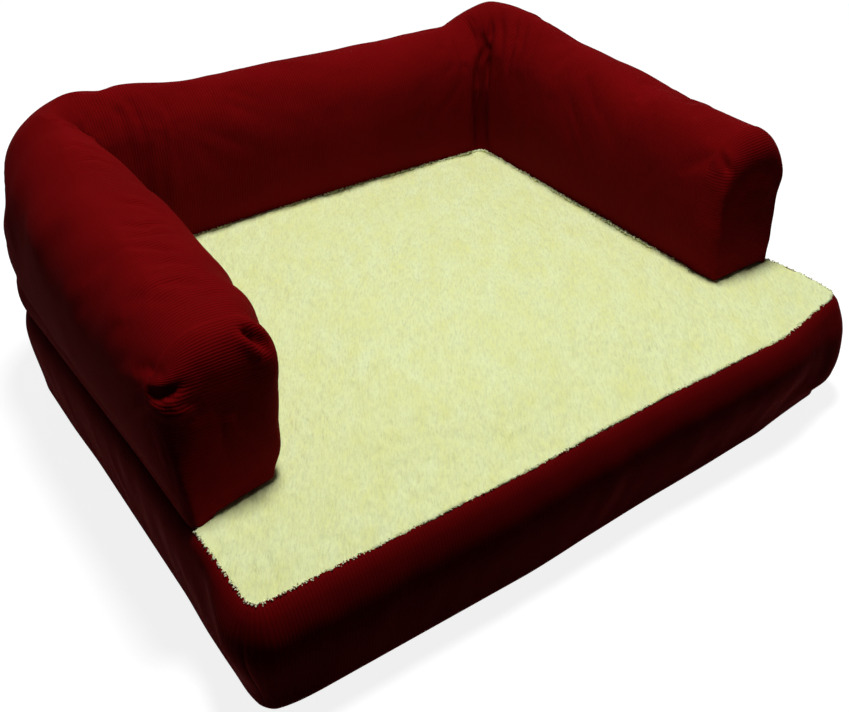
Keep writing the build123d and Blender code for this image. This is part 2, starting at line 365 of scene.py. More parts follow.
def dark_metal(name):
    mat, tree, shader = node_material(name)
    place = object_place(tree)
    brushed = noise_node(tree, scaled(tree, place, (200.0, 200.0, 3000.0)), 1.0, 3.0)
    tone = mix_colour(tree, noise_node(tree, place, 260.0), (0.10, 0.095, 0.09),
                      (0.26, 0.25, 0.24))
    tree.links.new(tone, shader.inputs["Base Color"])
    set_inputs(shader, Metallic=1.0)
    rough = math_node(tree, "MULTIPLY_ADD", brushed, 0.25, 0.22)
    tree.links.new(rough, shader.inputs["Roughness"])
    add_bump(tree, shader, brushed, 0.25, 0.0001)
    return mat


# The second colour of each cord cloth is its grooves' painted shade, darker than the ridge
# colour.
red_cloth = ribbed_cloth("ribbed_red_cloth", (0.135, 0.0022, 0.0028),
                         (0.088, 0.0014, 0.0018), 0.0004)
# The bands' copy of the same cloth has its ridges painted a little darker than the bolster's, as
# painted shade, and less painted groove shade.
band_cloth = ribbed_cloth("ribbed_red_band_cloth", (0.120, 0.0022, 0.0028),
                          (0.090, 0.0015, 0.0020), 0.00025)
cream_fleece = fleece_material("cream_fleece", (0.735, 0.805, 0.455), (0.71, 0.745, 0.32),
                               (0.57, 0.61, 0.34))
# The locks' copy of the fleece is painted paler than the fleece, as painted light against the
# shade on the locks' undersides; it also lets light through.
brightened_fleece_lock = fleece_material("cream_fleece_locks", (0.84, 0.90, 0.50), (0.80, 0.84, 0.44),
                              (0.74, 0.78, 0.42), 0.5, 0.0004)
under_cloth = plain_weave("underside_weave", (0.035, 0.030, 0.032), (0.012, 0.010, 0.011))
tape_weave = plain_weave("zip_tape_weave", (0.10, 0.004, 0.006), (0.04, 0.002, 0.003),
                         0.0006, 0.0001)
tooth_plastic = plain_weave("zip_tooth_plastic", (0.06, 0.012, 0.014), (0.025, 0.004, 0.006),
                            0.0012, 0.00004)
foam_cells = open_cell("foam_cells", (0.80, 0.72, 0.50), (0.55, 0.47, 0.28), 700.0)
fibre_pad = open_cell("fibre_pad", (0.86, 0.86, 0.82), (0.66, 0.66, 0.62), 420.0)
metal = dark_metal("zip_metal_finish")


# ---------------------------------------------------------------- camera
camera_data = bpy.data.cameras.new("camera")
camera = bpy.data.objects.new("camera", camera_data)
bpy.context.scene.collection.objects.link(camera)
camera_data.sensor_width = 36.0
camera_data.lens = 44.14
camera.location = (-0.57297, -0.85249, 0.78267)
camera.rotation_euler = (math.radians(90 - 36.28), 0.0, math.radians(-34.8))
bpy.context.scene.camera = camera


# ---------------------------------------------------------------- bolster
# Path of the tube: left arm from its front, round the corner, back, corner, right arm
END_DEPTH = 0.031
END_INSET = 0.034
EDGE_RINGS, FACE_RINGS = 14, 12
FILL_ROWS = 143
RING_STEP = 0.0042
ARM_LENGTH = CORNER_Y - (ARM_FRONT + END_DEPTH)
MEAN = 0.055
TURN = math.pi / 2 * (CORNER_RADIUS - MEAN)
BACK_LENGTH = 2 * CORNER_X
KNOTS = np.cumsum([0.0, ARM_LENGTH, TURN, BACK_LENGTH, TURN, ARM_LENGTH])


def tube_path(s):
    """Outer face point and inward direction of the tube at path length s."""
    a, b, c, d, e = KNOTS[1:]
    if s <= a:
        return np.array([-HALF_WIDTH, ARM_FRONT + END_DEPTH + s]), np.array([1.0, 0.0])
    if s <= b:
        turn = (s - a) / (b - a) * math.pi / 2
        out = np.array([-math.cos(turn), math.sin(turn)])
        return np.array([-CORNER_X, CORNER_Y]) + CORNER_RADIUS * out, -out
    if s <= c:
        return np.array([-CORNER_X + (s - b), HALF_DEPTH]), np.array([0.0, -1.0])
    if s <= d:
        turn = (s - c) / (d - c) * math.pi / 2
        out = np.array([math.sin(turn), math.cos(turn)])
        return np.array([CORNER_X, CORNER_Y]) + CORNER_RADIUS * out, -out
    return np.array([HALF_WIDTH, CORNER_Y - (s - d)]), np.array([-1.0, 0.0])


def seam_droop(points):
    """How far the seam between bolster and mattress hangs below the flat seam."""
    x, y = points[:, 0], points[:, 1]
    along_arm = smooth_step((y - ARM_FRONT + 0.02) / (CORNER_Y + 0.08 - ARM_FRONT)) * 0.027
    inward = smooth_step((0.30 - np.abs(x)) / 0.22) * 0.007
    return along_arm - inward * (y > 0.2)


def stations():
    """Places of the rings: arm, corner, back, corner, arm."""
    places = [0.0]
    for n, a, b in zip((110, 66, 150, 66, 110), KNOTS, KNOTS[1:]):
        places += list(a + (b - a) * np.arange(1, n + 1) / n)
    return np.array(places)


# Places along the tube, and the tube's measures there
left_in, left_out, right_in, right_out, end = KNOTS[1:]
left_mid = (left_in + left_out) / 2
right_mid = (right_in + right_out) / 2
TOP_AT = ((0, 0.10, 0.26, left_in - 0.02, left_mid, left_out + 0.05, left_out + 0.14,
           left_out + 0.24, right_in - 0.18, right_in - 0.10, right_in - 0.02, right_mid,
           right_out + 0.03, end - 0.26, end - 0.19, end - 0.12, end),
          (0.3060, 0.3105, 0.3175, 0.3300, 0.3445, 0.3335, 0.3205, 0.3155, 0.3125, 0.3105,
           0.3070, 0.3345, 0.3280, 0.3200, 0.3165, 0.3105, 0.3080))
BELLY_AT = ((0, 0.06, 0.12, 0.20, 0.30, left_in - 0.01, left_mid, left_out + 0.03,
             left_out + 0.14, right_in - 0.14, right_in - 0.03, right_mid, right_out + 0.03,
             end - 0.25, end - 0.10, end),
            (0.111, 0.126, 0.1335, 0.1340, 0.132, 0.122, 0.103, 0.106, 0.109, 0.109, 0.104,
             0.100, 0.103, 0.104, 0.104, 0.105))
OUTER_AT = ((0, 0.15, left_in, left_mid, left_out + 0.05, right_in - 0.05, right_mid, right_out,
             end - 0.15, end),
            (0.004, 0.008, 0.008, 0.006, 0.006, 0.006, 0.006, 0.009, 0.005, -0.001))
LEAN_AT = ((0, left_in - 0.12, left_in - 0.04, left_mid, left_out + 0.03, right_in, right_mid,
            end),
           (0.001, 0.008, 0.020, 0.028, 0.007, 0.001, -0.001, -0.002))
REACH_AT = ((0, left_in - 0.10, left_mid, left_out + 0.06, right_in, right_mid, end),
            (0.047, 0.048, 0.050, 0.045, 0.047, 0.046, 0.042))
PINCH_AT = ((0, left_in - 0.03, left_mid, left_out + 0.03, right_out, end - 0.2, end),
            (0.0045, 0.003, 0.000, 0.004, 0.005, 0.006, 0.0060))
FOOT_AT = ((0, right_out, end - 0.08, end), (0.0020, 0.0020, 0.002, 0.001))
TABLES = (TOP_AT, BELLY_AT, OUTER_AT, LEAN_AT, REACH_AT, PINCH_AT, FOOT_AT)

SECTION_TOP = 138
SECTION_BOTTOM = 18
ROUNDING = 0.56


def parabola(start, middle, finish, n):
    t = np.linspace(0, 1, n)[:, None]
    start, middle, finish = (np.asarray(p, float) for p in (start, middle, finish))
    return ((2 * (t - 0.5) * (t - 1)) * start + (4 * t * (1 - t)) * middle
            + (2 * t * (t - 0.5)) * finish)


def run_length(line):
    return np.concatenate([[0], np.cumsum(np.linalg.norm(np.diff(line, axis=0), axis=1))])


def at_lengths(line, lengths):
    run = run_length(line)
    return np.stack([np.interp(lengths, run, line[:, k]) for k in range(line.shape[1])], 1)


def rounded_join(first, second, reach):
    """Joins two lines that meet, with the corner between them rounded over the given reach."""
    ra, rb = run_length(first), run_length(second)
    a = at_lengths(first, [ra[-1] - reach])[0]
    b = at_lengths(second, [reach])[0]
    corner = first[-1]
    t = np.linspace(0, 1, 24)[:, None]
    h1, h2 = a + (corner - a) * ROUNDING, b + (corner - b) * ROUNDING
    arc = ((1 - t) ** 3 * a + 3 * t * (1 - t) ** 2 * h1 + 3 * t * t * (1 - t) * h2
           + t ** 3 * b)
    return np.concatenate([first[ra < ra[-1] - reach], arc, second[rb > reach]])


def tube_section(s, droop, inset=0.0):
    """Closed outline (inward, height): outer seam, over the tube, inner seam, back below."""
    top, belly, outer, tilt, reach, tuck, foot = (float(ease(s, *table)) for table in TABLES)
    seam = SEAM - droop
    tail = float(smooth_step((s - end + 0.12) / 0.10))
    crown = 0.010
    tip = float(smooth_step(1 - s / 0.09))
    lean = 0.007 - 0.006 * tip
    side = parabola((0.003, seam), (-outer + tilt * 0.3, (seam + top) / 2),
                    (tilt, top - crown), 80)
    up = np.maximum(side[:, 1] - seam, 0)
    pinch = np.exp(-((up - 0.023 - 0.012 * tail) / (0.018 + 0.010 * tail)) ** 2)
    side[:, 0] += foot * np.exp(-up / 0.010) + (tuck - 0.0045) * pinch
    turning = math.exp(-((s - left_in - 0.015) / 0.055) ** 2)
    side[:, 0] += 0.0065 * turning * np.exp(-((side[:, 1] - 0.265) / 0.034) ** 2)
    inner_seam = (CONTACT + 0.001, FLEECE_TOP + 0.0005)
    over = parabola((tilt, top - crown), (belly / 2, top), (belly - lean, top - crown), 60)
    inner = parabola((belly - lean, top - crown), (belly, (FLEECE_TOP + top) / 2 - 0.012),
                     inner_seam, 80)
    inner[:, 0] += 0.004 * tip * np.exp(-((inner[:, 1] - FLEECE_TOP - 0.026) / 0.021) ** 2)
    line = rounded_join(side, over, reach)
    line = rounded_join(line, inner, 0.041 - 0.014 * tip)
    below = np.array([inner_seam, (0.014, FLEECE_TOP + 0.0005), (0.008, FLEECE_TOP - 0.004),
                      tuple(line[0])])
    upper = at_lengths(line, np.linspace(0, run_length(line)[-1], SECTION_TOP + 1))
    lower = at_lengths(below, np.linspace(0, run_length(below)[-1], SECTION_BOTTOM + 1))[1:-1]
    ring = np.concatenate([upper, lower])
    if inset:
        middle = np.array([belly / 2, (FLEECE_TOP + top) / 2])
        away = ring - middle
        ring = middle + away * (1 - inset / np.linalg.norm(away, axis=1, keepdims=True))
    return ring


def bolster_grid(inset=0.0):
    """Rings along the tube, their places, and the rings of its two boxed ends."""
    rows = []
    places = stations()
    for s in places:
        face, inward = tube_path(s)
        ring = tube_section(s, float(seam_droop(face[None])[0]), inset)
        rows.append(np.column_stack([face + ring[:, :1] * inward, ring[:, 1]]))
    rings = np.array(rows)
    caps = []
    for first, narrow in ((rings[0], 0.85), (rings[-1], 0.34)):
        middle = np.array([first[:, 0].mean(), first[0, 1], 0.225])
        away = first - middle
        reach = np.linalg.norm(away[:, [0, 2]], axis=1, keepdims=True)
        levels = []
        for k in range(1, EDGE_RINGS + 1):
            turn = k / EDGE_RINGS * math.pi / 2
            inward = END_INSET * (1 - math.cos(turn))
            shift = away * (inward / reach)
            square = (1 - math.cos(turn) ** 0.45) / (1 - math.cos(turn))
            shift[:, 0] *= narrow * square
            shift[:, 2] *= np.where(away[:, 2] > 0, 1.0, 0.12)
            ring = first - shift
            ring[:, 1] = first[0, 1] - (END_DEPTH - inset) * math.sin(turn)
            levels.append(ring)
        last = levels[-1]
        for k in range(1, FACE_RINGS + 1):
            share = k / (FACE_RINGS + 1)
            ring = middle + (last - middle) * (1 - share)
            ring[:, 1] = last[:, 1] - 0.0035 * smooth_step(np.full(len(ring), share))
            levels.append(ring)
        caps.append(levels)
    pull_ends(rings, caps)
    return rings, places, caps


def pull_ends(rings, caps):
    """Foot of each boxed end stands a little further forward, most at its outer corner."""
    for side in (0, 1):
        for ring in caps[side] + list(rings[:24] if side == 0 else rings[-24:]):
            low = 1 - smooth_step((ring[:, 2] - 0.150) / 0.10)
            outer = np.clip((np.abs(ring[:, 0]) - (HALF_WIDTH - CONTACT)) / CONTACT, 0, 1)
            near = smooth_step(1 - (ring[:, 1] - (ARM_FRONT + END_DEPTH)) / 0.09)
            if side == 0:
                far = 0.007 + 0.016 * np.minimum(outer, 0.75) + 0.012 * outer ** 8
                nose = 0.008
            else:
                far, nose = 0.004, 0.0
            ring[:, 1] -= (nose + (far - nose) * low) * near


def bolster_rows(inset=0.0, part=None):
    """Grid of the whole bolster or of one part of it, with what it was made from."""
    rings, places, caps = bolster_grid(inset)
    front, tail = caps[0][::-1], caps[1]
    rows = {None: front + list(rings) + tail,
            "left": front + list(rings[:FILL_ROWS]),
            "right": list(rings[-FILL_ROWS:]) + tail,
            "back": list(rings[FILL_ROWS:-FILL_ROWS])}[part]
    return np.array(rows), rings, places, caps


# Folds drawn in by the stuffing, in tenths of a millimetre: half width, depth, and the
# points of a line over the cloth. A depth below zero is a ridge.
FOLDS = [
    # right back corner, from the back round to the arm
    (60, 50, 2318, 2759, 3084, 2286, 2462, 3000, 2311, 2265, 2796, 2451, 2176, 2545,
     2488, 2165, 2215),
    (75, 110, 2776, 2408, 3053, 2774, 2286, 2884, 2688, 2227, 2658, 2635, 2184, 2331,
     2762, 2309, 1516),
    (55, 60, 3142, 2435, 3300, 2900, 2135, 3106, 2739, 1959, 2894, 2676, 1985, 2556,
     2704, 2076, 1991),
    (55, 60, 2894, 1915, 3103, 2712, 1727, 2808, 2667, 1751, 2454, 2705, 1851, 1955),
    (60, 60, 3292, 2002, 3267, 3034, 1826, 3206, 2829, 1681, 3025, 2684, 1680, 2653,
     2678, 1792, 2241),
    (70, 50, 3182, 932, 3175, 2876, 986, 3068, 2741, 1045, 2937, 2636, 1050, 2669,
     2656, 1346, 2318),
    (60, 22, 1646, 2257, 2874, 1644, 2141, 2670, 1703, 2112, 2420),
    (80, 22, 2677, -805, 2613, 2662, -901, 2338, 2678, -877, 1996),
    (60, 45, 2777, 2773, 3169, 2707, 2563, 3090, 2686, 2395, 2952, 2692, 2284, 2805),
    (45, 35, 2452, 2531, 3014, 2431, 2315, 2782, 2623, 2305, 2323),
    (45, 60, 3001, 2492, 3270, 2888, 2315, 3098, 2839, 2275, 2777, 2742, 2190, 2333),
    (45, 60, 3296, 2219, 3288, 2984, 1947, 3156, 2828, 1839, 2911, 2728, 1816, 2599),
    (50, 35, 3350, 1700, 3247, 3017, 1557, 3155, 2835, 1501, 2972, 2742, 1485, 2703),
    (60, 25, 3172, 493, 3156, 2943, 589, 3049, 2794, 657, 2855),
    # left back corner
    (45, 60, -2030, 2548, 3289, -1987, 2362, 3153, -1963, 2244, 2950, -1975, 2195, 2703),
    (45, 40, -1833, 2595, 3275, -1822, 2427, 3186, -1819, 2335, 3074),
    (45, 55, -1697, 2512, 3212, -1721, 2283, 2996, -1766, 2165, 2720, -1784, 2149, 2481),
    (50, 25, -1366, 2519, 3169, -1398, 2310, 3004, -1453, 2185, 2755),
    (60, 18, -1151, 2571, 3176, -1164, 2364, 3052, -1205, 2223, 2865),
    (55, 90, -2112, 2536, 3253, -2091, 2390, 3168, -2090, 2257, 3013, -2104, 2163, 2810,
     -2111, 2143, 2599),
    (60, 145, -1866, 2307, 3083, -1874, 2200, 2943, -1902, 2121, 2675, -1950, 2119, 2375,
     -1979, 2157, 2005),
    (50, 70, -2284, 2471, 3222, -2272, 2344, 3110, -2294, 2223, 2934),
    (55, 35, -1654, 2389, 3124, -1681, 2219, 2960, -1689, 2108, 2660),
    (55, 30, -1448, 2692, 3192, -1488, 2477, 3151, -1484, 2367, 3091),
    (75, 70, -2555, 2331, 3103, -2530, 2217, 3000, -2560, 1990, 2900),
    (60, 35, -2444, 2675, 3307, -2493, 2509, 3259, -2526, 2379, 3160),
    # along the back and over the left arm
    (100, 18, 586, 2295, 2963, 572, 2125, 2724, 574, 2085, 2338),
    (70, 18, -2951, 2025, 3235, -2911, 1566, 3194, -2820, 1283, 3113),
    (70, 15, -2693, 589, 3031, -2725, 157, 3012, -2788, -510, 3021),
    (60, 15, -3092, -1428, 3048, -2936, -1439, 3016, -2783, -1448, 2923),
    (45, 34, -3154, 1986, 3245, -2859, 2122, 3198, -2599, 2285, 2966),
    (45, 34, -3191, 1645, 3228, -2965, 1563, 3243, -2791, 1451, 3151),
    (45, 28, -3137, 1335, 3213, -2921, 1311, 3196, -2808, 1195, 3134),
    (48, 34, -3092, 382, 3154, -2890, 274, 3128, -2779, 132, 3061),
    (48, 36, -3221, -9, 3126, -3035, -143, 3118, -2780, -49, 3036),
    (45, 30, -3248, -266, 3119, -2998, -284, 3108, -2787, -290, 3032),
    (48, 32, -3393, -348, 3072, -3175, -477, 3112, -2959, -654, 3094),
    (48, 26, -3338, -750, 3088, -3102, -808, 3096, -2927, -915, 3068),
    (48, 28, -3410, -1082, 3052, -3169, -1122, 3076, -2984, -1278, 3060),
    # tucks and seams at the boxed ends
    (42, 75, -3804, -1853, 2628, -3751, -1957, 2641, -3670, -2021, 2677, -3578, -2046, 2733),
    (60, -40, -3808, -1907, 2532, -3739, -2020, 2512, -3645, -2082, 2510, -3527, -2094, 2515),
    (42, 130, -2970, -1930, 2985, -2895, -1985, 2890, -2830, -2020, 2760),
    (40, 14, -3786, -1993, 2419, -3798, -2010, 2277, -3822, -2063, 1997, -3805, -2035, 1624),
    (40, 80, 2873, -1771, 2917, 2864, -1860, 2846, 2869, -1952, 2741),
    (35, 15, 2805, -1884, 2734, 2765, -1970, 2443, 2754, -2040, 1981, 2822, -2040, 1541),
]


def fold_in(grid, normals, folds):
    points = grid.reshape(-1, 3)
    sunk, raised = np.zeros(len(points)), np.zeros(len(points))
    for fold in folds:
        width, depth = fold[0] / 10000, fold[1] / 10000
        dist, share = distance_to_line(points, np.reshape(fold[2:], (-1, 3)) / 10000)
        taper = np.sqrt(np.clip(np.sin(np.pi * np.clip(share * 0.96 + 0.02, 0, 1)), 0, 1))
        near = np.exp(-(dist / width) ** 2)
        ridge = np.exp(-((dist - 2.1 * width) / (1.3 * width)) ** 2)
        if depth > 0:
            sunk = np.maximum(sunk, depth * taper * near)
            raised = np.maximum(raised, 0.28 * depth * taper * ridge)
        else:
            raised = np.maximum(raised, -depth * taper * near)
    move = raised * (1 - np.minimum(sunk / 0.004, 1)) - sunk
    return grid + normals * move.reshape(grid.shape[:2])[..., None], sunk.reshape(grid.shape[:2])


CLOTH_FRAMES = 20


def capped(move, most):
    """The movements, none of them longer than the given length."""
    size = np.linalg.norm(move, axis=2, keepdims=True)
    return move * np.minimum(1, most / np.maximum(size, 1e-9))


def settle(grid, normals, hold, share):
    """Cloth run under pressure on every second point, carried back to all, row by row."""
    start = (grid - 0.0015 * normals * (1 - hold[..., None]))[::2, ::2]
    rows, cols, _ = start.shape
    obj, _ = closed_tube("settling", start)
    group = obj.vertex_groups.new(name="hold")
    for i, weight in enumerate(hold[::2, ::2].ravel()):
        group.add([i], float(weight), "REPLACE")
    cloth = obj.modifiers.new("Cloth", "CLOTH")
    values = cloth.settings
    values.vertex_group_mass = "hold"
    values.use_pressure = True
    values.uniform_pressure_force = 4.0
    values.effector_weights.gravity = 0.0
    values.quality = 5
    values.tension_stiffness = values.compression_stiffness = 12.0
    values.bending_stiffness = 0.3
    cloth.point_cache.frame_start, cloth.point_cache.frame_end = 1, CLOTH_FRAMES
    scene = bpy.context.scene
    for number in range(1, CLOTH_FRAMES + 1):
        scene.frame_set(number)
    held = obj.evaluated_get(bpy.context.evaluated_depsgraph_get()).to_mesh()
    after = np.zeros(rows * cols * 3)
    held.vertices.foreach_get("co", after)
    after = after.reshape(rows, cols, 3)
    scene.frame_set(1)
    mesh = obj.data
    bpy.data.objects.remove(obj)
    bpy.data.meshes.remove(mesh)
    move = capped(after - grid[::2, ::2], 0.010)
    slow = move.copy()
    for _ in range(36):
        slow = (np.roll(slow, 1, 1) + 2 * slow + np.roll(slow, -1, 1)) / 4
        slow[1:-1] = (slow[:-2] + 2 * slow[1:-1] + slow[2:]) / 4
    move = capped(1.25 * (move - slow) + 0.12 * slow, 0.007)
    full = np.zeros(grid.shape)
    full[::2, ::2] = move
    full[::2, 1::2] = (move + np.roll(move, -1, 1)) / 2
    odd = full[1::2].shape[0]
    after_odd = full[2::2]
    if len(after_odd) < odd:
        after_odd = np.concatenate([after_odd, full[-2:-1]])
    full[1::2] = (full[0:2 * odd:2] + after_odd) / 2
    return grid + full * share[:, None, None]


def build_bolster():
    grid, rings, places, caps = bolster_rows()
    rows, cols, _ = grid.shape
    cap_rows = len(caps[0])
    normals = normals_of(grid, True)
    toward = grid[cap_rows + 5] - rings[5].mean(0)
    if (normals[cap_rows + 5] * toward).sum() < 0:
        normals = -normals
    flat = grid.reshape(-1, 3)
    soft = 0.0022 * value_noise(flat, 0.070, 1.0) + 0.0010 * value_noise(flat, 0.028, 2.0)
    free = smooth_step((flat[:, 2] - FLEECE_TOP - 0.004) / 0.03)
    grid = grid + normals * (soft * free).reshape(rows, cols)[..., None]
    grid, sunk = fold_in(grid, normals, FOLDS)
    near_foot = 1 - smooth_step((grid[..., 2] - FLEECE_TOP - 0.002) / 0.012)
    hold = np.maximum(near_foot, np.clip(sunk / 0.002, 0, 1))
    hold[:2], hold[-2:] = 1.0, 1.0
    share = np.ones(rows)
    share[:cap_rows], share[-cap_rows:] = 0.6, 0.15
    grid = settle(grid, normals, hold, share)
    obj, faces = closed_tube("bolster_cover", grid)
    set_cloth_map(obj, bolster_cloth_map(grid, rings, places, len(caps[0]), faces))
    return obj


def bolster_cloth_map(grid, rings, places, cap_rows, faces):
    """Ribs run round the tube, over each arm's front edge, and across its end face."""
    rows, cols, _ = grid.shape
    around = np.zeros((rows, cols))
    around[:] = np.arange(cols) * RING_STEP
    across = np.zeros((rows, cols))
    across[cap_rows:cap_rows + len(places)] = places[:, None]
    edge_rows = {}
    roll = 0.5 * (END_DEPTH + END_INSET)
    for side, sign, base, full in ((0, -1.0, 0.0, rings[0]), (1, 1.0, places[-1], rings[-1])):
        axis = full[:, 2].max() - END_INSET
        for k in range(-1, cap_rows):
            row = cap_rows - 1 - k if side == 0 else cap_rows + len(places) + k
            ring = grid[row]
            ahead = np.maximum(full[:, 1].mean() - ring[:, 1], 0) / END_DEPTH
            above = (ring[:, 2] - axis) / END_INSET
            turn = np.arctan2(ahead, np.maximum(above, 1e-4))
            run = roll * np.where(above > 0, turn, math.pi / 2)
            run = run + np.maximum(axis - ring[:, 2], 0)
            if k < 0:
                edge_rows[side] = base + sign * run
                continue
            across[row] = base + sign * run
            around[row] = ring[:, 0]
    uv = np.stack([around.ravel(), across.ravel()], 1)
    values = []
    total = rows * cols
    for f in faces:
        ids = np.array(f)
        part = uv[ids % total].copy()
        r = ids // cols
        for side, meeting, beyond in ((0, cap_rows, cap_rows - 1),
                                      (1, rows - cap_rows - 1, rows - cap_rows)):
            if len(f) == 4 and beyond in r and meeting in r:
                on = r == meeting
                part[on, 1] = edge_rows[side][ids[on] % cols]
        if len(f) == 4 and (ids % cols).max() - (ids % cols).min() > 2:
            deep = (r >= cap_rows) & (r < rows - cap_rows)
            part[(ids % cols == 0) & deep, 0] += cols * RING_STEP
        values.append(part)
    return np.concatenate(values)


bolster = build_bolster()
dress(bolster, red_cloth, "ribbed_cloth", "left_arm_cover", "right_arm_cover", "back_cover",
      "left_arm_end", "right_arm_end", "bolster_underside")

for part, node, name in (("left", "left_arm_fill", "left_arm_stuffing"),
                         ("back", "back_fill", "back_stuffing"),
                         ("right", "right_arm_fill", "right_arm_stuffing")):
    grid, *_ = bolster_rows(0.018, part)
    grid = grid[::3, ::3]
    rows, cols, _ = grid.shape
    lump = value_noise(grid.reshape(-1, 3), 0.03, 4.0).reshape(rows, cols)
    grid = grid + normals_of(grid, True) * (0.0012 * lump)[..., None]
    fill, _ = closed_tube(name, grid)
    dress(fill, fibre_pad, "fibre_fill", node)


# ---------------------------------------------------------------- mattress sides
OUTLINE_STEP = 0.004


def side_swell(x, y):
    """The right side stands out a little in front of the arm."""
    return 0.009 * np.exp(-((y + 0.262) / 0.060) ** 2) * smooth_step((x - 0.25) / 0.12)


def corner_draw(x, y):
    """The front edge draws back towards the right front corner."""
    drawn = 0.022 * smooth_step((x - 0.25) / 0.14) + 0.0030 * smooth_step((x + 0.05) / 0.15)
    drawn = drawn - 0.0030 * smooth_step(-x / 0.10)
    return drawn * smooth_step((-y - 0.23) / 0.10)


def plan_outline():
    """Closed outline at the top seam: its points, outward directions and running length."""
    x, y, rb = HALF_WIDTH, HALF_DEPTH, CORNER_RADIUS
    fl, fr = FRONT_LEFT_RADIUS, FRONT_RIGHT_RADIUS
    pts = []

    def straight(a, b):
        n = max(2, int(round(math.dist(a, b) / OUTLINE_STEP)))
        for i in range(n):
            t = i / n
            pts.append((a[0] + (b[0] - a[0]) * t, a[1] + (b[1] - a[1]) * t))

    def arc(cx, cy, r, start):
        n = max(10, int(round(r * math.pi / 2 / OUTLINE_STEP)))
        for i in range(n):
            a = math.radians(start) + math.pi / 2 * i / n
            pts.append((cx + r * math.cos(a), cy + r * math.sin(a)))

    straight((0, -y), (x - fr, -y))
    arc(x - fr, -y + fr, fr, -90)
    straight((x, -y + fr), (x, y - rb))
    arc(x - rb, y - rb, rb, 0)
    straight((x - rb, y), (-x + rb, y))
    arc(-x + rb, y - rb, rb, 90)
    straight((-x, y - rb), (-x, -y + fl))
    arc(-x + fl, -y + fl, fl, 180)
    straight((-x + fl, -y), (0, -y))
    pts = np.array(pts)
    pts[:, 1] += corner_draw(pts[:, 0], pts[:, 1])
    pts[:, 0] += side_swell(pts[:, 0], pts[:, 1])
    return pts, outward_of(pts), run_length(pts)


OUTLINE, OUTWARD, RUN = plan_outline()


def band_bulge(points, share):
    """Outward offset of the band at a share of its height, over and above the plan."""
    x, y = points[:, 0], points[:, 1]
    share = np.clip(share, 0, 1)
    front = smooth_step((-y - 0.25) / 0.06)
    corner = smooth_step((x - 0.28) / 0.10) * smooth_step((-y - 0.20) / 0.09)
    bulge = 0.0060 + 0.0110 * front - 0.0010 * corner
    behind = smooth_step((y - 0.26) / 0.06) * smooth_step((0.33 - np.abs(x)) / 0.06)
    bulge = bulge - 0.0030 * behind
    crest = 0.78 - 0.14 * front
    roll = np.sin(math.pi / 2 * np.clip((1 - share) / (1 - crest), 0, 1)) ** 0.8
    fall = 1 - (0.90 - 0.75 * corner) * smooth_step((crest - share) / 0.80)
    profile = np.where(share > crest, roll, fall)
    flare = 0.0035 * smooth_step((0.16 - x) / 0.26) * smooth_step((x + 0.40) / 0.08) - 0.003
    flare = flare - 0.005 * np.exp(-((x - 0.27) / 0.09) ** 2) - 0.006 * corner
    low = 1 - smooth_step((share - 0.05) / 0.75)
    drawn = (0.0022 * smooth_step((-x - 0.34) / 0.03) * smooth_step((0.15 - y) / 0.10)
             * smooth_step((y + 0.23) / 0.07))
    from_corner = (x + HALF_WIDTH) ** 2 + (y + HALF_DEPTH) ** 2
    drawn = drawn + 0.0045 * np.exp(-from_corner / 0.020 ** 2)
    full = corner * smooth_step(share / 0.25) * (1 - smooth_step((share - 0.3) / 0.6))
    return -0.001 + bulge * profile + (front * flare - drawn) * low + 0.014 * full


SURFACES = {}


def band_piece(name, node, chosen, low, high, rows):
    """Closed strip of band over the chosen outline points, up to its seam or a height."""
    points, out, run = OUTLINE[chosen], OUTWARD[chosen], RUN[chosen]
    run = run - run[0]
    for j in np.flatnonzero(np.diff(run) < 0):
        run[j + 1:] += RUN[-1] + OUTLINE_STEP
    droop = seam_droop(points)
    past_arm = points[:, 1] - ARM_FRONT + np.where(points[:, 0] < 0, 0.037, 0.015)
    open_rim = 1 - smooth_step(past_arm / 0.03)
    outer = np.zeros((rows, len(points), 3))
    for r in range(rows):
        seam = SEAM - droop + 0.0020 + 0.0070 * open_rim
        top = seam if high is None else np.minimum(np.full(len(points), high), seam)
        z = low + (top - low) * r / (rows - 1)
        share = (z - CLOTH) / (seam - CLOTH)
        curl = (0.0016 + 0.0006 * open_rim) * smooth_step((share - 0.93) / 0.07)
        offset = band_bulge(points, share) - curl
        outer[r, :, :2] = points + out * offset[:, None]
        outer[r, :, 2] = z
    flat = outer.reshape(-1, 3)
    puckers = 0.0016 * value_noise(flat * np.array([1, 1, 0.35]), 0.026, 5.0)
    slow = 0.0016 * value_noise(flat, 0.09, 6.0)
    edge = np.repeat(np.sin(math.pi * np.linspace(0, 1, rows)) ** 0.5, len(points))
    move = ((puckers + slow) * edge).reshape(rows, len(points))
    outer[:, :, :2] += out[None] * move[..., None]
    inner = outer.copy()
    inner[:, :, :2] -= out[None] * CLOTH
    cloth = np.zeros((rows, len(points), 2))
    cloth[..., 0] = outer[..., 2]
    cloth[..., 1] = run[None]
    SURFACES[name] = outer
    obj = shell(name, outer, inner, cloth)
    dress(obj, band_cloth, "ribbed_cloth", node)


order = np.arange(len(OUTLINE))
px, py = OUTLINE[:, 0], OUTLINE[:, 1]
fl_corner = int(np.argmin(np.hypot(px + HALF_WIDTH, py + HALF_DEPTH)))
fr_corner = int(np.argmin(np.hypot(px - HALF_WIDTH, py + HALF_DEPTH - 0.024)))
front = (order <= fr_corner) | (order >= fl_corner)
front_order = np.concatenate([order[front & (order > len(order) // 2)],
                              order[front & (order < len(order) // 2)]])
zip_panel = (py > HALF_DEPTH - 1e-6) & (np.abs(px) <= PANEL_HALF + 0.002)
rest = ~front & ~zip_panel
right_order = order[rest & (px > 0)]
left_order = order[rest & (px < 0)]
zip_order = order[zip_panel]


def with_neighbours(chosen):
    """The chosen points and the next one on either side, so that strips meet."""
    n = len(OUTLINE)
    return np.array([(chosen[0] - 1) % n, *chosen, (chosen[-1] + 1) % n])


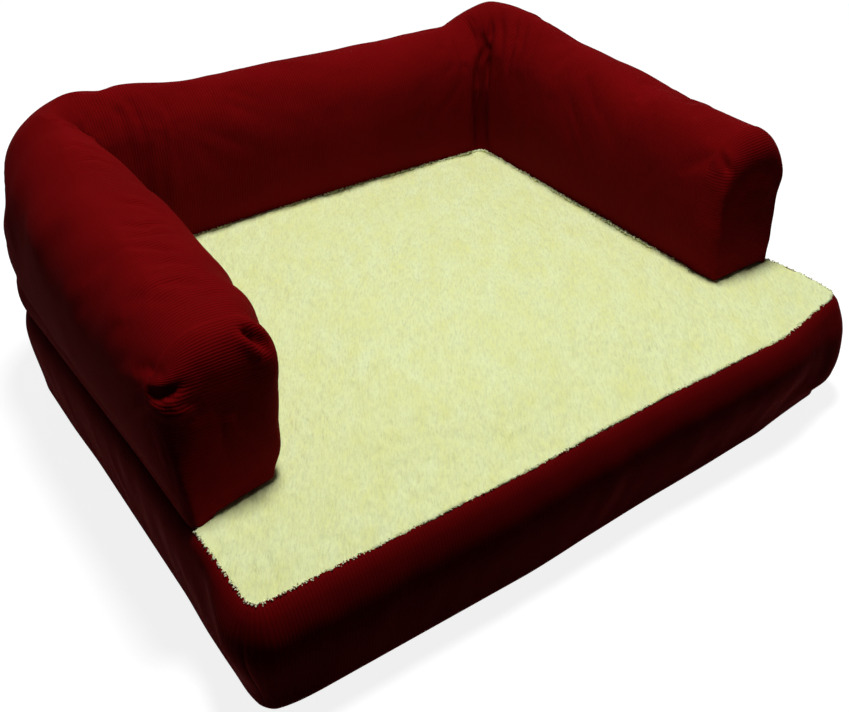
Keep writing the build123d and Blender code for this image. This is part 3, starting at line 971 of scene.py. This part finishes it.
band_piece("front_side_band", "front_band", front_order, CLOTH, None, 34)
band_piece("right_side_band", "right_band", with_neighbours(right_order), CLOTH, None, 34)
band_piece("left_side_band", "left_band", with_neighbours(left_order), CLOTH, None, 34)
band_piece("back_strip_upper", "back_band_upper", zip_order, SLOT_HIGH, None, 12)
band_piece("back_strip_lower", "back_band_lower", zip_order, CLOTH, SLOT_LOW, 16)


# ---------------------------------------------------------------- fleece
CROWN = 0.010
FLEECE_INSET = 0.006
PROFILE = ((0.0014, -0.0002), (0.0026, -0.0009), (0.0032, -0.0020), (0.0026, -0.0042),
           (0.0, -0.0088), (-0.030, -0.0088), (-0.12, -0.0088))


def fleece_half_width(y, inset, front_radius):
    """Half width of the rounded plan at y, drawn in by inset."""
    hx, hy = HALF_WIDTH - inset, HALF_DEPTH - inset
    rf, rb = front_radius - inset, CORNER_RADIUS - inset
    y = np.clip(y, -hy, hy)
    half = np.full_like(y, hx)
    front = y < -hy + rf
    half[front] = hx - rf + np.sqrt(np.maximum(rf ** 2 - (-hy + rf - y[front]) ** 2, 0))
    back = y > hy - rb
    half[back] = hx - rb + np.sqrt(np.maximum(rb ** 2 - (y[back] - hy + rb) ** 2, 0))
    return half


def crown(x, y):
    """Height of the low crown over the open part of the mattress."""
    across = np.clip(1 - (x / (HALF_WIDTH - CONTACT - 0.006)) ** 2, 0, 1)
    front, back = -HALF_DEPTH + 0.006, HALF_DEPTH - CONTACT - 0.006
    along = ease((y - front) / (back - front), (-0.2, 0.0, 0.25, 0.6, 1.0, 1.2),
                 (0.0, 0.2, 0.8, 1.0, 0.5, 0.0))
    return CROWN * across * along


def pile(points):
    """Height of the pile: soft clumps a few millimetres across, longer the way they lie."""
    x, y = points[:, 0] + 0.004 * value_noise(points, 0.03, 11.0), points[:, 1]
    c, d = math.cos(PILE_TURN), math.sin(PILE_TURN)
    bent = np.column_stack([x * c - y * d, 0.5 * (x * d + y * c), 0 * x])
    clumps = value_noise(bent, 0.0080, 12.0)
    fine = value_noise(bent, 0.0036, 13.0)
    lumps = value_noise(points * np.array([1, 1, 0]), 0.055, 14.0)
    return 0.0015 * clumps + 0.0008 * fine + 0.0018 * lumps


def build_fleece():
    """Closed slab: the piled top, its turned edge and a flat underside."""
    nx, ny = 262, 232
    y = (HALF_DEPTH - FLEECE_INSET) * np.linspace(-1, 1, ny)
    left = fleece_half_width(y, FLEECE_INSET, FRONT_LEFT_RADIUS)
    right = fleece_half_width(y, FLEECE_INSET, FRONT_RIGHT_RADIUS)
    u = np.linspace(0, 1, nx)
    top = np.zeros((ny, nx, 3))
    top[..., 0] = -left[:, None] * (1 - u) + right[:, None] * u
    top[..., 1] = y[:, None]
    top[..., 1] += corner_draw(top[..., 0], top[..., 1])
    top[..., 0] += side_swell(top[..., 0], top[..., 1])
    flat = top.reshape(-1, 3)
    foot = np.where(flat[:, 0] < 0, ARM_FRONT + 0.002, ARM_FRONT + 0.02)
    hidden = np.maximum(
        smooth_step((np.abs(flat[:, 0]) - 0.300) / 0.02) * (flat[:, 1] > foot),
        smooth_step((flat[:, 1] - 0.252) / 0.02))
    height = FLEECE_TOP - 0.0010 + crown(flat[:, 0], flat[:, 1])
    height = height + (1 - hidden) * (pile(flat) + 0.0012)
    flat[:, 2] = np.where(hidden > 0, np.minimum(height, FLEECE_TOP - 0.0008 * hidden), height)
    loop = [(0, c) for c in range(nx)] + [(r, nx - 1) for r in range(1, ny)]
    loop += [(ny - 1, c) for c in range(nx - 2, -1, -1)] + [(r, 0) for r in range(ny - 2, 0, -1)]
    rim = np.array([top[r, c] for r, c in loop])
    out = outward_of(rim)
    under = (rim[:, 1] > np.where(rim[:, 0] < 0, ARM_FRONT - 0.024, ARM_FRONT + 0.002))[:, None]
    verts = [flat]
    ragged = 0.0012 * value_noise(rim, 0.005, 15.0)[:, None]
    for step_out, step_down in PROFILE:
        ring = rim.copy()
        reach = np.where(under, min(step_out, -0.003), step_out + (ragged if 0 < step_out else 0))
        ring[:, :2] += out * reach
        ring[:, 2] = np.where(step_down > -0.008, rim[:, 2] + step_down, FLEECE_TOP + step_down)
        verts.append(ring)
    count = nx * ny
    faces = grid_quads(ny, nx)
    ids = [r * nx + c for r, c in loop]
    ring_size = len(loop)
    for k in range(len(PROFILE)):
        start = count + k * ring_size
        for i in range(ring_size):
            j = (i + 1) % ring_size
            before = start - ring_size
            a, b = (ids[i], ids[j]) if k == 0 else (before + i, before + j)
            faces.append((a, start + i, start + j, b))
    last = count + (len(PROFILE) - 1) * ring_size
    faces.append(tuple(last + i for i in range(ring_size))[::-1])
    return new_mesh("fleece_top", np.concatenate(verts), faces)


fleece = build_fleece()
dress(fleece, cream_fleece, "fleece", "fleece_top_panel")


def tufts(name, places, seed):
    """Small closed locks of pile. Each place is (root, direction, length)."""
    rng = np.random.default_rng(seed)
    verts, faces = [], []
    sides, levels = 5, 4
    for root, direction, length in places:
        root, direction = np.asarray(root, float), np.asarray(direction, float)
        direction = direction / np.linalg.norm(direction)
        side = np.cross(direction, (0, 0, 1.0))
        side = side / max(np.linalg.norm(side), 1e-9)
        up = np.cross(side, direction)
        width = length * rng.uniform(0.45, 0.62)
        sway = rng.uniform(-0.35, 0.35)
        fall = rng.uniform(0.10, 0.45)
        base = len(verts)
        verts.append(root - direction * length * 0.25)
        for k in range(levels):
            t = k / levels
            drop = np.array([0, 0, fall * t * t])
            centre = root + length * (direction * t + side * sway * t * t - drop)
            r = width * (0.75 + 0.6 * t) * (1 - t) ** 0.55
            for i in range(sides):
                a = 2 * math.pi * i / sides + 0.6 * k
                verts.append(centre + r * (math.cos(a) * side + 0.75 * math.sin(a) * up))
        verts.append(root + length * (direction + side * sway - np.array([0, 0, fall])))
        tip = len(verts) - 1
        for i in range(sides):
            j = (i + 1) % sides
            faces.append((base, base + 1 + i, base + 1 + j))
            for k in range(levels - 1):
                a, b = base + 1 + k * sides, base + 1 + (k + 1) * sides
                faces.append((a + j, a + i, b + i, b + j))
            a = base + 1 + (levels - 1) * sides
            faces.append((a + j, a + i, tip))
    # The locks wear the fleece copy that is painted paler as painted light.
    dress(new_mesh(name, np.array(verts), faces), brightened_fleece_lock, "fleece")


def edge_tuft_places():
    """Locks that hang over the open seams of the fleece."""
    rng = np.random.default_rng(21)
    places = []
    for point, out in zip(OUTLINE, OUTWARD):
        if point[1] > (ARM_FRONT - 0.025 if point[0] < 0 else ARM_FRONT - 0.001):
            continue
        for _ in range(5):
            jitter = rng.uniform(-0.003, 0.003)
            along = np.array([-out[1], out[0]]) * jitter
            root = np.array([*(point + along - out * rng.uniform(0.0035, 0.0060)), 0])
            root[2] = FLEECE_TOP - rng.uniform(-0.0014, 0.0012)
            direction = np.array([*(out + 0.5 * rng.normal(size=2)), rng.uniform(0.1, 0.6)])
            places.append((root, direction, rng.uniform(0.0012, 0.0022)))
    return places


def contact_tuft_places():
    """Locks pressed up against the foot of the bolster's inner side."""
    rng = np.random.default_rng(23)
    places, last = [], None
    for s in np.arange(0.002, end - 0.001, 0.0010):
        face, inward = tube_path(s)
        foot = face + inward * (CONTACT + 0.0030)
        if last is not None and math.dist(foot, last) < 0.0022:
            continue
        last = foot
        ahead = np.array([-inward[1], inward[0]])
        for _ in range(2):
            spot = (foot + inward * rng.uniform(-0.0010, 0.0025)
                    + ahead * rng.uniform(-0.0012, 0.0012))
            height = FLEECE_TOP + 0.0004 + float(crown(spot[0], spot[1]))
            lean = -inward * rng.uniform(0.0, 0.6) + ahead * 0.35 * rng.normal()
            places.append(((*spot, height), (*lean, rng.uniform(0.5, 1.0)),
                           rng.uniform(0.0022, 0.0040)))
    return places


tufts("fleece_edge_locks", edge_tuft_places(), 22)
tufts("fleece_contact_locks", contact_tuft_places(), 24)


# ---------------------------------------------------------------- inner pads and underside
def plan_slab(name, node, inset, low, high, edge, material, slot_name, lift=None, lump=0.0008):
    """Slab on the mattress's plan, with softened edges; lift raises its top."""
    middle = (0.5 * low + 0.5 * min(low + 0.03, high) - CLOTH) / (SEAM - CLOTH)
    swell = np.minimum(band_bulge(OUTLINE, np.full(len(OUTLINE), middle)), 0.004)
    points = OUTLINE + OUTWARD * (swell - inset)[:, None]

    def level_ring(ring, z):
        return np.column_stack([ring, np.full(len(ring), z)])

    rows = [level_ring(points + OUTWARD * out, z) for out, z in (
        (-edge, low), (-0.3 * edge, low + 0.3 * edge), (0, low + edge), (0, high - edge),
        (-0.3 * edge, high - 0.3 * edge), (-edge, high))]
    first, last = rows[0][:, :2], rows[5][:, :2]
    shares = np.linspace(0.93, 0.0, 14)[:-1]
    for s in shares:
        rows.append(level_ring(last * s, high))
        if lift is not None:
            rows[-1][:, 2] += lift(rows[-1][:, 0], rows[-1][:, 1])
    lower = [level_ring(first * s, low) for s in shares]
    grid = np.array(lower[::-1] + rows)
    lumps = value_noise(grid.reshape(-1, 3), 0.03, 8.0).reshape(grid.shape[:2])
    grid[..., 2] += lump * lumps * (grid[..., 2] > low + edge)
    obj, _ = closed_tube(name, grid)
    dress(obj, material, slot_name, node)
    return obj


underside = plan_slab("bottom_cloth", "bottom_panel", 0.0035, 0.0, CLOTH, 0.0006, under_cloth,
                      "underside_cloth", lump=0.0)
foam = plan_slab("foam_slab", "foam_core", 0.009, 0.0025, 0.1015, 0.004, foam_cells, "foam")
pad = plan_slab("topper_pad", "comfort_topper", 0.012, 0.1025, 0.1265, 0.005, fibre_pad,
                "fibre_pad", lift=lambda x, y: 0.9 * crown(x, y))


# ---------------------------------------------------------------- zip
ZIP_HEIGHT = 0.070
CHAIN_Y = 0.330
TAPE_HALF = 0.270
TEETH, TOOTH_PITCH, FIRST_TOOTH = 248, 0.0020, -0.2470
TOOTH = ((0.00320, 0.00062, 0.00085), (0.00235, 0.00062, 0.00088), (0.00185, 0.00040, 0.00070),
         (0.00130, 0.00060, 0.00085), (0.00085, 0.00046, 0.00060))
OCTAGON = ((-1, -0.6), (-0.6, -1), (0.6, -1), (1, -0.6), (1, 0.6), (0.6, 1), (-0.6, 1), (-1, 0.6))
STITCH = ((-1.0, 0.35), (-0.6, 0.85), (0.0, 1.0), (0.6, 0.85), (1.0, 0.35))


def solid_rows(name, sections, material, slot_name, *nodes):
    """One mesh of closed little bars; each is a list of rings of equally many points."""
    verts, faces = [], []
    for rings in sections:
        base, n = len(verts), len(rings[0])
        for ring in rings:
            verts.extend(ring)
        for k in range(len(rings) - 1):
            for i in range(n):
                j = (i + 1) % n
                a, c = base + k * n, base + (k + 1) * n
                faces.append((a + i, a + j, c + j, c + i))
        faces.append(tuple(base + i for i in range(n))[::-1])
        faces.append(tuple(base + (len(rings) - 1) * n + i for i in range(n)))
    obj = new_mesh(name, np.array(verts), faces)
    dress(obj, material, slot_name, *nodes)
    return obj


def zip_tape(name, node, level):
    """Woven tape with a corded inner edge, slightly wavy along its free edge."""
    x = np.linspace(-TAPE_HALF, TAPE_HALF, 217)
    across = np.array([0.0034, 0.0040, 0.0050, 0.0065, 0.0100, 0.0140, 0.0178])
    thick = np.array([0.0004, 0.0004, 0.0003, 0.00028, 0.00028, 0.00028, 0.00022])
    outer = np.zeros((len(across), len(x), 3))
    for r, reach in enumerate(across):
        outer[r, :, 0] = x
        outer[r, :, 2] = ZIP_HEIGHT + level * (reach + 0.0002 * np.sin(x * 90) * (reach > 0.01))
        outer[r, :, 1] = CHAIN_Y + thick[r] + 0.00010 * np.sin(x * 130 + level) * (reach > 0.005)
    inner = outer.copy()
    inner[..., 1] -= 2 * thick[:, None]
    if level < 0:
        outer, inner = outer[::-1], inner[::-1]
    obj = shell(name, outer[:, ::-1], inner[:, ::-1], outer[:, ::-1, ::2])
    dress(obj, tape_weave, "zip_tape", node)


def zip_teeth(name, node, level):
    """Moulded teeth at a 2 mm pitch, each with a waist and a rounded head."""
    bars = []
    for k in range(TEETH):
        x = FIRST_TOOTH + TOOTH_PITCH * k + (0.0005 if level > 0 else -0.0005)
        rings = []
        for reach, half_x, half_y in TOOTH:
            z = ZIP_HEIGHT + level * reach
            ring = [(x + half_x * sx, CHAIN_Y + half_y * sy, z) for sx, sy in OCTAGON]
            rings.append(ring if level < 0 else ring[::-1])
        bars.append(rings)
    obj = solid_rows(name, bars, tooth_plastic, "zip_teeth", node)
    for face in obj.data.polygons:
        face.use_smooth = False


zip_tape("zip_upper_tape_cloth", "zip_upper_tape", 1)
zip_tape("zip_lower_tape_cloth", "zip_lower_tape", -1)
zip_teeth("zip_upper_tooth_row", "zip_upper_teeth", 1)
zip_teeth("zip_lower_tooth_row", "zip_lower_teeth", -1)


def stitch_line(surface, level):
    """Places of a row of stitches on a band's grid at one height, one every 3.4 mm."""
    bars = []
    heights = surface[:, 0, 2]
    by_x = np.argsort(surface[0, :, 0])
    xs = surface[0, by_x, 0]
    face = np.array([np.interp(level, heights, surface[:, c, 1]) for c in by_x])
    for x in np.arange(-0.2560, 0.2565, 0.0034):
        rings = []
        for t, size in STITCH:
            at = x + 0.0012 * t
            y = float(np.interp(at, xs, face)) + 0.00005
            rings.append([(at, y + 0.00026 * size * math.cos(a),
                           level + 0.00030 * size * math.sin(a))
                          for a in np.arange(6) * math.pi / 3])
        bars.append(rings)
    return bars


thread = plain_weave("sewing_thread", (0.10, 0.004, 0.006), (0.05, 0.002, 0.003),
                     0.0005, 0.00005)
stitches = stitch_line(SURFACES["back_strip_upper"], SLOT_HIGH + 0.0040)
stitches += stitch_line(SURFACES["back_strip_lower"], SLOT_LOW - 0.0040)
solid_rows("zip_topstitching", stitches, thread, "ribbed_cloth")

for node in ("zip_slider", "zip_pull", "zip_bottom_stop", "zip_top_stops"):
    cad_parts[node].data.materials.clear()
    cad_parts[node].data.materials.append(metal)


# ---------------------------------------------------------------- floor and light
def stage_material():
    """Pale floor that stays pale in the camera and keeps the object's shadow."""
    mat, tree, shader = node_material("pale_floor")
    seen = seen_directly(tree)
    tone = mix_colour(tree, seen, (0.012, 0.012, 0.012), (0.26, 0.26, 0.26))
    tree.links.new(tone, shader.inputs["Base Color"])
    set_inputs(shader, Roughness=0.9, Specular_IOR_Level=0.0,
               Emission_Color=(1.0, 1.0, 1.0, 1.0))
    tree.links.new(math_node(tree, "MULTIPLY", seen, 0.86), shader.inputs["Emission Strength"])
    return mat


corners = ((-40, -40), (40, -40), (40, 40), (-40, 40))
floor = new_mesh("floor", [(x, y, -0.0005) for x, y in corners], [(0, 1, 2, 3)], smooth=False)
floor.data.materials.append(stage_material())

world = bpy.data.worlds.new("studio")
bpy.context.scene.world = world
world.use_nodes = True
wt = world.node_tree
background = wt.nodes["Background"]
strength = math_node(wt, "MULTIPLY_ADD", seen_directly(wt), 0.982, 0.018)
wt.links.new(strength, background.inputs["Strength"])
set_inputs(background, Color=(1.0, 1.0, 1.0, 1.0))


def softbox(name, place, target, size, power):
    data = bpy.data.lights.new(name, "AREA")
    data.shape = "DISK"
    data.size = size
    data.energy = power
    lamp = bpy.data.objects.new(name, data)
    bpy.context.scene.collection.objects.link(lamp)
    lamp.location = place
    lamp.visible_glossy = False
    lamp.rotation_euler = (Vector(target) - Vector(place)).to_track_quat("-Z", "Y").to_euler()


softbox("overhead_softbox", (0.10, 0.00, 2.2), (0.0, 0.0, 0.15), 0.46, 46.0)
softbox("rear_fill", (0.30, 2.40, 1.00), (0.0, 0.30, 0.15), 1.2, 7.0)
softbox("right_fill", (2.40, 0.40, 1.00), (0.30, 0.10, 0.15), 1.2, 5.0)

bpy.context.scene.view_settings.view_transform = "Standard"
